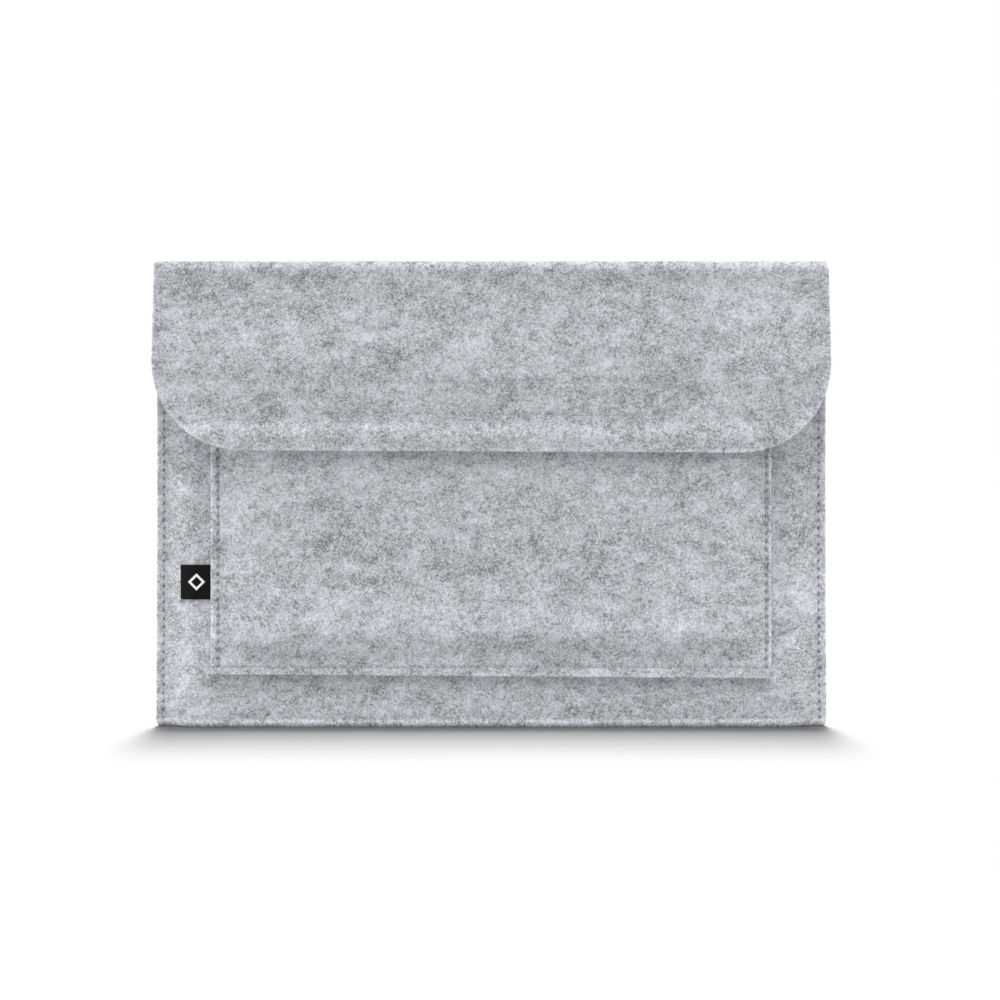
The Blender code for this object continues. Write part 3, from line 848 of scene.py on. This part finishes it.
def make_loop_tape(base_material, loop_material):
    base = make_tape_base("loop_tape_weave", LOOP_LOW, LOOP_HIGH, -1.0, base_material)
    rng = np.random.default_rng(12)
    spots = tape_spots(LOOP_LOW, LOOP_HIGH, LOOP_PITCH, LOOP_PITCH * 0.9, rng, LOOP_WANDER)
    face = LOOP_HIGH.y - TAPE_BASE
    turn = rng.uniform(0.0, math.pi, len(spots))
    span = rng.uniform(*LOOP_SPAN, len(spots))
    rise = rng.uniform(*LOOP_RISE, len(spots))
    lean = rng.normal(0.0, LOOP_LEAN, (len(spots), 2))
    arc = np.linspace(-LOOP_ROOT, math.pi + LOOP_ROOT, 8)
    side = np.cos(arc) * (1.0 + 0.25 * np.sin(arc))
    up = np.sin(arc)
    paths = np.zeros((len(spots), len(arc), 3))
    paths[:, :, 0] = spots[:, 0, None] + (np.cos(turn) * span)[:, None] * side + lean[:, 0, None] * up
    paths[:, :, 1] = face - rise[:, None] * up
    paths[:, :, 2] = spots[:, 1, None] + (np.sin(turn) * span)[:, None] * side + lean[:, 1, None] * up
    normals = np.column_stack([-np.sin(turn), np.zeros_like(turn), np.cos(turn)])
    loops = strands("loop_tape_loops", paths, normals, LOOP_RADIUS, 3, loop_material)
    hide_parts("loop_tape")
    for item in (base, loops):
        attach(item, "sleeve_body")


# The folded label, sewn in under the pocket's edge, with a plain woven diamond on it

LABEL_LAYER = 0.00036
LABEL_FOLD = 0.00030
MARK_X = -0.1531
MARK_Z = 0.0757
MARK_REACH = 0.0044
MARK_BAND = 0.0011
STRAND_PITCH = 0.00030
MARK_BOW = 0.00010
MARK_SUNK = 0.00004
LABEL_ROW = 0.00025
LABEL_COLUMN = 0.00030
LABEL_TUCK = 0.0012  # length over which the pocket squeezes it
LABEL_SQUEEZE = 0.45
LABEL_RIB = 0.00002
LABEL_RIB_PITCH = 0.0005
LABEL_HEM_THIN = 0.00004
LABEL_HEM = 0.0004


def label_surface(x, z, lift):
    """A point on the front panel's outside, lifted off it by a distance."""
    return np.column_stack([x, -(front_half(x, z) + FELT / 2 + lift), z])


def make_label(material, mark_material):
    z = evenly(LABEL_LOW.z, LABEL_HIGH.z, LABEL_ROW)
    inner_lift, outer_lift = LABEL_LAYER / 2, LABEL_LAYER / 2 + 2 * LABEL_FOLD
    x_run = evenly(LABEL_HIGH.x, LABEL_LOW.x + LABEL_FOLD, LABEL_COLUMN)
    turns = np.linspace(0.0, math.pi, 9)[1:-1]
    path = [(x, inner_lift) for x in x_run]
    path += [(LABEL_LOW.x + LABEL_FOLD * (1 - math.sin(turn)),
              inner_lift + LABEL_FOLD * (1 - math.cos(turn))) for turn in turns]
    path += [(x, outer_lift) for x in x_run[::-1]]
    path = np.array(path)
    length = np.concatenate([[0.0], np.cumsum(np.linalg.norm(np.diff(path, axis=0), axis=1))])
    u = np.repeat(path[:, 0], len(z))
    lift = np.repeat(path[:, 1], len(z))
    v = np.tile(z, len(path))
    tucked = ease((u - POCKET_LOW.x) / LABEL_TUCK)
    lift = mix(lift, lift * LABEL_SQUEEZE, tucked)
    middle = label_surface(u, v, lift)
    flat = np.column_stack([np.repeat(length, len(z)), v])
    ribs = LABEL_RIB * np.sin(2 * math.pi * v / LABEL_RIB_PITCH)
    hem = np.minimum(v - z[0], z[-1] - v)
    thick = LABEL_LAYER / 2 - LABEL_HEM_THIN * bell(hem, LABEL_HEM) + ribs
    quads = grid_quads(len(path), len(z))[:, ::-1]
    item = shell("label_ribbon_folded", middle, quads, flat, thick, thick, material, rim_bulge=0.00002)
    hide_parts("label")
    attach(item, "sleeve_body")
    mark = make_label_mark(outer_lift + LABEL_LAYER / 2, mark_material)


def make_label_mark(lift, material):
    """Satin stitches side by side round an open diamond."""
    paths, normals = [], []
    corners = [(1, 0), (0, 1), (-1, 0), (0, -1)]
    for start, end in zip(corners, corners[1:] + corners[:1]):
        edge = np.array(end, float) - np.array(start, float)
        length = MARK_REACH * math.sqrt(2)
        for step in evenly(0.0, length, STRAND_PITCH)[:-1] / length:
            outer = (np.array(start) + edge * step) * MARK_REACH
            inner = outer * (1.0 - MARK_BAND * math.sqrt(2) / MARK_REACH)
            line = [outer + (inner - outer) * s for s in np.linspace(0.0, 1.0, 5)]
            x = np.array([MARK_X + p[0] for p in line])
            z = np.array([MARK_Z + p[1] for p in line])
            bow = MARK_BOW * np.sin(np.linspace(0.0, math.pi, 5)) - MARK_SUNK
            paths.append(label_surface(x, z, lift + bow))
            normals.append((0.0, -1.0, 0.0))
    item = strands("label_diamond_stitches", np.array(paths), np.array(normals),
                   STRAND_PITCH * 0.6, 6, material)
    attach(item, "sleeve_body")
    return item


# Materials

class Nodes:
    """A material's node tree, written as calls that give back output sockets."""

    def __init__(self, name):
        self.material = bpy.data.materials.new(name)
        self.material.use_nodes = True
        self.tree = self.material.node_tree
        self.tree.nodes.clear()

    def add(self, kind, inputs, **settings):
        node = self.tree.nodes.new(kind)
        for key, value in settings.items():
            setattr(node, key, value)
        for key, value in inputs.items():
            if isinstance(value, bpy.types.NodeSocket):
                self.tree.links.new(value, node.inputs[key])
            else:
                node.inputs[key].default_value = value
        return node

    def place(self):
        """The felt's own coordinates in millimetres."""
        attribute = self.add("ShaderNodeAttribute", {}, attribute_name="place")
        return self.stretch(attribute.outputs["Vector"], (1000.0, 1000.0, 1000.0))

    def mark(self, name):
        """One of the felt's point marks."""
        return self.add("ShaderNodeAttribute", {}, attribute_name=name).outputs["Fac"]

    def stretch(self, vector, scale):
        node = self.add("ShaderNodeVectorMath", {0: vector, 1: scale}, operation="MULTIPLY")
        return node.outputs["Vector"]

    def math(self, operation, a, b=0.0):
        return self.add("ShaderNodeMath", {0: a, 1: b}, operation=operation).outputs["Value"]

    def plus(self, a, b):
        return self.math("ADD", a, b)

    def times(self, a, b):
        return self.math("MULTIPLY", a, b)

    def noise(self, vector, scale, detail=0.0, roughness=0.5, distortion=0.0):
        node = self.add("ShaderNodeTexNoise", {"Vector": vector, "Scale": scale, "Detail": detail,
                                               "Roughness": roughness, "Distortion": distortion})
        return node.outputs["Fac"]

    def band(self, value, low, high, to_low=0.0, to_high=1.0):
        node = self.add("ShaderNodeMapRange", {"Value": value, "From Min": low, "From Max": high,
                                               "To Min": to_low, "To Max": to_high},
                        interpolation_type="SMOOTHSTEP")
        return node.outputs["Result"]

    def separate(self, vector):
        return self.add("ShaderNodeSeparateXYZ", {"Vector": vector}).outputs

    def tint(self, colour, value):
        """A colour made lighter or darker by a value."""
        node = self.add("ShaderNodeVectorMath", {0: colour, "Scale": value}, operation="SCALE")
        return node.outputs["Vector"]

    def finish(self, colour, height, bump, distance, **settings):
        normal = self.add("ShaderNodeBump", {"Height": height, "Strength": bump, "Distance": distance})
        inputs = {"Base Color": colour, "Normal": normal.outputs["Normal"]}
        shader = self.add("ShaderNodeBsdfPrincipled", inputs)
        for key, value in settings.items():
            shader.inputs[key.replace("_", " ")].default_value = value
        self.add("ShaderNodeOutputMaterial", {"Surface": shader.outputs["BSDF"]})
        return self.material


FELT_COLOUR = (0.400, 0.412, 0.438)
THREAD_COLOUR = (0.42, 0.43, 0.455)
TAPE_COLOUR = (0.33, 0.338, 0.365)
HOOK_COLOUR = (0.36, 0.37, 0.40)
LOOP_COLOUR = (0.40, 0.41, 0.44)
RIBBON_COLOUR = (0.0035, 0.0035, 0.004)
MARK_COLOUR = (0.80, 0.80, 0.80)
CUT_PALE_AND_HIGHLIGHT = 0.46  # how much paler the cut edges are painted: partly the cut fibres' own colour, partly a painted highlight
HOLE_SHADE_DARK = 0.95  # painted shade: how much darker the felt is painted in a needle hole


def centred(nodes, value, weight):
    """A 0-to-1 noise as a swing about zero."""
    return nodes.times(nodes.math("SUBTRACT", value, 0.5), weight)


def fibres(nodes, vector, scale, width, shift):
    """Short curly fibres: the level lines of a noise, broken up by another."""
    shifts = (shift, shift * 0.7, shift * 0.3)
    moved = nodes.add("ShaderNodeVectorMath", {0: vector, 1: shifts}).outputs["Vector"]
    line = nodes.math("ABSOLUTE", nodes.math("SUBTRACT", nodes.noise(moved, scale, 0.0, 0.5, 0.6), 0.5))
    thin = nodes.band(line, 0.0, width, 1.0, 0.0)
    broken = nodes.band(nodes.noise(moved, scale * 1.1), 0.42, 0.60)
    return nodes.times(thin, broken)


def felt_material():
    nodes = Nodes("felt_light_grey_melange")
    place = nodes.place()
    drawn = nodes.stretch(place, (0.65, 1.0, 1.0))
    broad = centred(nodes, nodes.noise(drawn, 0.028, 1.0, 0.9), 1.0)
    clouds = centred(nodes, nodes.noise(drawn, 0.10, 1.0, 1.0), 1.0)
    tuft = centred(nodes, nodes.noise(place, 0.30, 1.0, 1.0, 0.5), 1.0)
    grain = centred(nodes, nodes.noise(place, 1.05, 1.0, 0.9, 0.4), 1.0)
    coarse = nodes.plus(nodes.times(broad, 0.60), nodes.times(clouds, 0.88))
    coarse = nodes.plus(coarse, nodes.times(tuft, 0.95))
    lively = nodes.math("SUBTRACT", 1.0, nodes.times(coarse, 0.7))
    fine = nodes.times(nodes.times(grain, 2.05), lively)
    dark = nodes.times(fibres(nodes, place, 0.36, 0.045, 91.0), -0.24)
    light = nodes.times(fibres(nodes, place, 0.40, 0.040, 13.0), 0.13)
    wisps = nodes.times(fibres(nodes, drawn, 0.11, 0.022, 37.0), -0.16)
    level = nodes.plus(1.02, coarse)
    for term in (fine, dark, light, wisps):
        level = nodes.plus(level, term)
    level = nodes.math("MAXIMUM", level, 0.42)
    # The cut edges are painted paler: partly the cut fibres' own colour, partly a painted highlight.
    paler = nodes.plus(1.0, nodes.times(nodes.mark("cut"), CUT_PALE_AND_HIGHLIGHT))
    # The needle holes are painted darker: painted shade in them.
    darker = nodes.math("SUBTRACT", 1.0, nodes.times(nodes.mark("hole_shade"), HOLE_SHADE_DARK))
    level = nodes.times(nodes.times(level, paler), darker)
    colour = nodes.tint(FELT_COLOUR, level)
    fuzz = nodes.noise(place, 1.6, 2.0, 0.6)
    height = nodes.plus(nodes.times(level, 0.6), nodes.times(fuzz, 0.6))
    return nodes.finish(colour, height, 0.35, 0.00030, Roughness=0.95, Specular_IOR_Level=0.15,
                        Sheen_Weight=0.10, Sheen_Roughness=0.6)


def thread_material(name, colour):
    """Plied thread: the twist runs slantwise round it."""
    nodes = Nodes(name)
    place = nodes.place()
    axes = nodes.separate(place)
    turn = nodes.plus(nodes.times(axes["X"], 1.5), nodes.times(axes["Y"], 2.0))
    twist = nodes.math("SINE", nodes.times(turn, 2 * math.pi))
    shade = nodes.plus(nodes.times(nodes.noise(place, 1.3, 1.0), 0.3), 0.80)
    shade = nodes.plus(shade, nodes.times(twist, 0.10))
    return nodes.finish(nodes.tint(colour, shade), twist, 0.4, 0.00010,
                        Roughness=0.7, Specular_IOR_Level=0.3)


def woven_material(name, colour, pitch, sheen):
    """A plain weave in the place coordinates, with uneven yarns."""
    nodes = Nodes(name)
    place = nodes.place()
    axes = nodes.separate(place)
    warp = nodes.math("SINE", nodes.times(axes["X"], 2 * math.pi / pitch))
    weft = nodes.math("SINE", nodes.times(axes["Y"], 2 * math.pi / pitch))
    weave = nodes.times(warp, weft)
    uneven = nodes.noise(nodes.stretch(place, (0.3, 3.0, 1.0)), 0.8, 1.0)
    shade = nodes.plus(nodes.times(weave, 0.18), nodes.plus(uneven, 0.5))
    return nodes.finish(nodes.tint(colour, shade), weave, 0.5, 0.00015, Roughness=0.75,
                        Specular_IOR_Level=0.12, Sheen_Weight=sheen)


def plastic_fibre_material(name, colour, roughness):
    """Nylon monofilament: slightly clear, a little uneven in colour from strand to strand."""
    nodes = Nodes(name)
    where = nodes.add("ShaderNodeTexCoord", {}).outputs["Object"]
    uneven = nodes.noise(nodes.stretch(where, (1000.0, 1000.0, 1000.0)), 0.7, 2.0)
    shade = nodes.band(uneven, 0.3, 0.7, 0.75, 1.25)
    return nodes.finish(nodes.tint(colour, shade), uneven, 0.2, 0.00005, Roughness=roughness,
                        Specular_IOR_Level=0.5)


# Stage, light and camera

CAMERA_PLACE = (0.00455, -1.456, 0.1183)
CAMERA_LENS = 100.1
AMBIENT = 0.03
SENSOR_WIDTH = 36.0

# The softboxes behind the sleeve that light the floor and draw its shadow: elevation and strength
FLOOR_STRIP = ((47, 0.26), (52, 0.33), (57, 0.54), (62, 0.57), (67, 0.60), (72, 0.58),
               (77, 0.57), (82, 0.62), (86, 1.02))
FLOOR_SPREAD = 8
FLOOR_LEVEL = 1.06
FLOOR_REACH = 12.0
FLOOR_TONE = (0.595, 0.605)
FLOOR_GLOW = 0.045

# The softboxes that light the sleeve: azimuth, elevation, spread and strength
SLEEVE_LIGHTS = (
    ("front_high", 0, 60, 40, 1.79),
    ("overhead", 0, 80, 30, 2.60),
    ("behind", 180, 35, 40, 1.60),
    ("left", -92, 12, 30, 2.10),
    ("right", 88, 12, 30, 0.85),
)

# The small panels close to it: place, target, width, height and power
SLEEVE_PANELS = (
    ("low", (0.0, -0.12, 0.012), (0.0, 0.0, 0.008), 0.46, 0.02, 0.118),
    ("near_left", (-0.30, -0.12, 0.16), (-0.16, 0.0, 0.16), 0.10, 0.22, 0.045),
    ("near_right", (0.30, -0.12, 0.16), (0.16, 0.0, 0.16), 0.10, 0.22, 0.040),
)


def make_stage():
    """A pale floor, slightly uneven in tone, that runs on to the horizon."""
    nodes = Nodes("studio_floor")
    where = nodes.add("ShaderNodeTexCoord", {}).outputs["Object"]
    tone = nodes.band(nodes.noise(where, 3.0, 2.0), 0.3, 0.7, *FLOOR_TONE)
    colour = nodes.tint((1.0, 1.0, 1.0), tone)
    material = nodes.finish(colour, tone, 0.0, 0.001, Roughness=0.9, Specular_IOR_Level=0.0,
                            Emission_Color=(1.0, 1.0, 1.0, 1.0), Emission_Strength=FLOOR_GLOW)
    mesh = bpy.data.meshes.new("floor")
    corners = [(sx * FLOOR_REACH, sy * FLOOR_REACH, 0.0) for sx, sy in ALL_CORNERS]
    mesh.from_pydata(corners, [], [(0, 1, 2, 3)])
    mesh.materials.append(material)
    floor = add_object("floor", mesh)


def make_world():
    """White where the camera looks past the floor, and a weak even light on everything else."""
    world = bpy.data.worlds.new("white_room")
    world.use_nodes = True
    tree = world.node_tree
    background = tree.nodes["Background"]
    background.inputs["Color"].default_value = (1.0, 1.0, 1.0, 1.0)
    seen = tree.nodes.new("ShaderNodeLightPath").outputs["Is Camera Ray"]
    strength = tree.nodes.new("ShaderNodeMapRange")
    strength.inputs["To Min"].default_value = AMBIENT
    strength.inputs["To Max"].default_value = 1.0
    tree.links.new(seen, strength.inputs["Value"])
    tree.links.new(strength.outputs["Result"], background.inputs["Strength"])
    bpy.context.scene.world = world


def place_light(name, data, place, target, lit):
    item = add_object(name, data)
    item.location = place
    item.rotation_euler = (Vector(target) - Vector(place)).to_track_quat("-Z", "Y").to_euler()
    item.visible_camera = False
    item.light_linking.receiver_collection = lit


def collection_for_light(name, state):
    """Light linking: INCLUDE lights the floor alone, and EXCLUDE everything else."""
    linked = bpy.data.collections.new(name)
    linked.objects.link(bpy.data.objects["floor"])
    linked.collection_objects[0].light_linking.link_state = state
    return linked


def from_side(azimuth, elevation):
    """A direction towards a light: azimuth 0 is in front of the sleeve and 90 on its right."""
    a, e = math.radians(azimuth), math.radians(elevation)
    return Vector((math.sin(a) * math.cos(e), -math.cos(a) * math.cos(e), math.sin(e)))


def broad_light(name, azimuth, elevation, spread, strength, lit):
    """A very large, far softbox: spread is the angle that it fills, seen from the sleeve."""
    light = bpy.data.lights.new(name, "SUN")
    light.energy = strength
    light.angle = math.radians(spread)
    place_light(name, light, from_side(azimuth, elevation), (0.0, 0.0, 0.0), lit)


def panel_light(name, place, target, width, height, power, lit):
    light = bpy.data.lights.new(name, "AREA")
    light.shape = "RECTANGLE"
    light.size = width
    light.size_y = height
    light.energy = power
    place_light(name, light, place, target, lit)


def make_lights():
    make_world()
    floor_only = collection_for_light("floor_only", "INCLUDE")
    sleeve_only = collection_for_light("sleeve_only", "EXCLUDE")
    for elevation, strength in FLOOR_STRIP:
        name = "floor_%d" % elevation
        broad_light(name, 180, elevation, FLOOR_SPREAD, strength * FLOOR_LEVEL, floor_only)
    for settings in SLEEVE_LIGHTS:
        broad_light(*settings, sleeve_only)
    for settings in SLEEVE_PANELS:
        panel_light(*settings, sleeve_only)


def make_camera():
    camera = bpy.data.cameras.new("camera")
    camera.lens = CAMERA_LENS
    camera.sensor_width = SENSOR_WIDTH
    item = add_object("camera", camera)
    item.location = CAMERA_PLACE
    item.rotation_euler = (math.pi / 2, 0.0, 0.0)
    bpy.context.scene.camera = item
    bpy.context.scene.view_settings.view_transform = "Standard"


def main():
    felt = felt_material()
    thread = thread_material("grey_thread", THREAD_COLOUR)
    tape = woven_material("tape_weave", TAPE_COLOUR, 1.0, 0.05)
    split = make_body(felt)
    middle = make_back_crease(split, felt)
    make_flap(middle, felt)
    make_pocket(felt)
    make_threads(thread)
    make_hook_tape(tape, plastic_fibre_material("hook_nylon", HOOK_COLOUR, 0.45))
    make_loop_tape(tape, plastic_fibre_material("loop_nylon", LOOP_COLOUR, 0.65))
    make_label(woven_material("black_ribbon", RIBBON_COLOUR, 0.5, 0.0),
               thread_material("white_thread", MARK_COLOUR))
    make_stage()
    make_lights()
    make_camera()


main()
